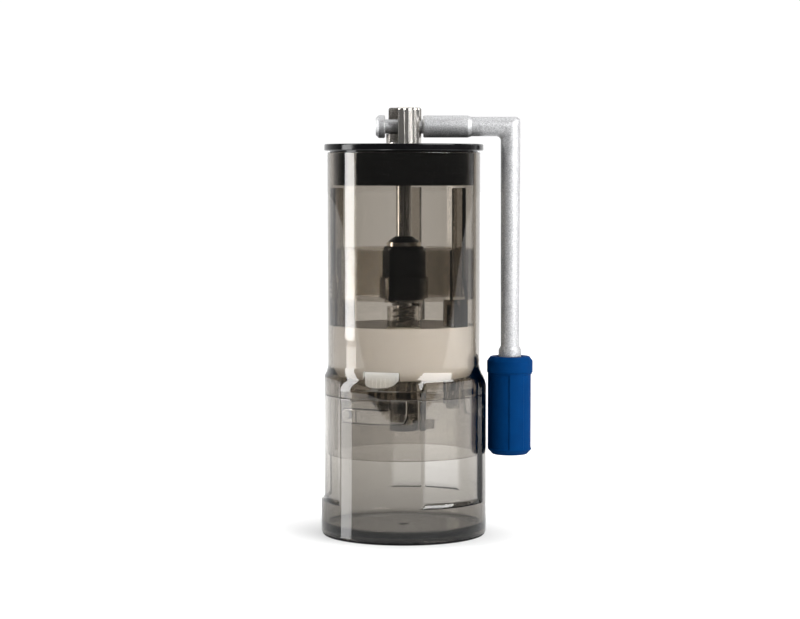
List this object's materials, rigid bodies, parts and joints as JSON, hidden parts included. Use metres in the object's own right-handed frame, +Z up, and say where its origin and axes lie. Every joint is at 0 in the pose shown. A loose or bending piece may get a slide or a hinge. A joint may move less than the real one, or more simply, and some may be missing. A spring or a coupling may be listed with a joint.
{
  "type": "hand coffee grinder",
  "caption": "Hand coffee grinder with a clear smoke hopper and twist-off grounds jar, conical burrs, a black lid and a fold-down crank with a blue grip.",
  "frame": {"origin": "centre of the flat underside of the foot", "axes": "+Z up along the grinding axis, +X along the crank arm at rest, -Y towards the front"},
  "size_m": [0.0954, 0.0744, 0.192],
  "materials": {
    "smoke_clear": "clear smoke moulded plastic, glossy",
    "black_rubber": "matt moulded rubber",
    "black_gloss": "glossy moulded black",
    "ivory_plastic": "satin moulded ivory",
    "white_plastic": "satin moulded white",
    "burr_ceramic": "sintered ceramic, unglazed",
    "bright_steel": "polished along the length",
    "nickel": "bright nickel plate",
    "spring_steel": "drawn wire",
    "cast_silver": "sand-textured silver",
    "blue_soft_touch": "matt soft-touch blue",
    "bearing_plastic": "satin bearing plastic"
  },
  "bodies": {
    "jar": {"base_pad": "black_rubber", "jar": "smoke_clear"},
    "body": {"upper_body": "smoke_clear", "bearing_spider": "smoke_clear", "bearing_boss": "black_gloss", "bearing_cap": "black_gloss", "upper_bushing": "bearing_plastic", "lower_bushing": "bearing_plastic", "spring_seat": "bright_steel", "burr_housing": "ivory_plastic", "outer_burr": "burr_ceramic", "burr_retainer": "bright_steel", "lower_bridge": "smoke_clear", "housing_screws": "bright_steel"},
    "clamp": {"clamp_knob": "white_plastic", "knob_stem": "bright_steel", "stem_nut": "bright_steel"},
    "thrust": {"thrust_ball": "bright_steel"},
    "shaft": {"drive_shaft": "bright_steel", "thrust_washer": "nickel", "shaft_cone": "black_gloss", "spring_cup": "smoke_clear", "compression_spring": "spring_steel", "burr_hub": "bearing_plastic", "inner_burr": "burr_ceramic"},
    "adjuster": {"adjuster": "smoke_clear"},
    "lid": {"lid": "black_gloss", "lid_bush": "bearing_plastic"},
    "head": {"crank_head": "bright_steel", "head_clip": "spring_steel"},
    "arm": {"crank_arm": "cast_silver", "arm_end_cap": "cast_silver", "arm_cap_screw": "bright_steel", "grip_spindle": "bright_steel", "grip_washer": "bright_steel", "grip_screw": "bright_steel"},
    "grip": {"grip_core": "bearing_plastic", "grip_collar": "blue_soft_touch", "grip_plug": "blue_soft_touch", "grip_sleeve": "blue_soft_touch"}
  },
  "joints": [
    {"name": "jar_twist", "type": "hinge", "parent": "jar", "child": "body", "pos_m": [0, 0, 0.06], "axis": [0, 0, 1], "range_deg": [0, 39]},
    {"name": "clamp_turn", "type": "hinge", "parent": "body", "child": "clamp", "pos_m": [-0.00952, -0.02138, 0.065], "axis": [0, 0, 1], "range_deg": [0, 270]},
    {"name": "grind_slide", "type": "slide", "parent": "body", "child": "thrust", "axis": [0, 0, 1], "range_m": [0, 0.0015], "deforming": ["compression_spring"]},
    {"name": "adjuster_turn", "type": "hinge", "parent": "thrust", "child": "adjuster", "pos_m": [0, 0, 0.055], "axis": [0, 0, 1], "range_deg": [0, 540]},
    {"name": "shaft_turn", "type": "hinge", "parent": "thrust", "child": "shaft", "pos_m": [0, 0, 0.1], "axis": [0, 0, 1], "continuous": true},
    {"name": "lid_lift", "type": "slide", "parent": "body", "child": "lid", "axis": [0, 0, 1], "range_m": [0, 0.03]},
    {"name": "crank_turn", "type": "hinge", "parent": "lid", "child": "head", "pos_m": [0, 0, 0.17], "axis": [0, 0, 1], "continuous": true},
    {"name": "arm_fold", "type": "hinge", "parent": "head", "child": "arm", "pos_m": [0, 0, 0.1835], "axis": [1, 0, 0], "range_deg": [0, 180]},
    {"name": "grip_spin", "type": "hinge", "parent": "arm", "child": "grip", "pos_m": [0.0479, 0, 0.06], "axis": [0, 0, 1], "continuous": true}
  ],
  "couplings": [
    {"joint": "shaft_turn", "follows": "crank_turn", "ratio": 1},
    {"joint": "adjuster_turn", "follows": "grind_slide", "rad_per_m": 6283.2}
  ]
}
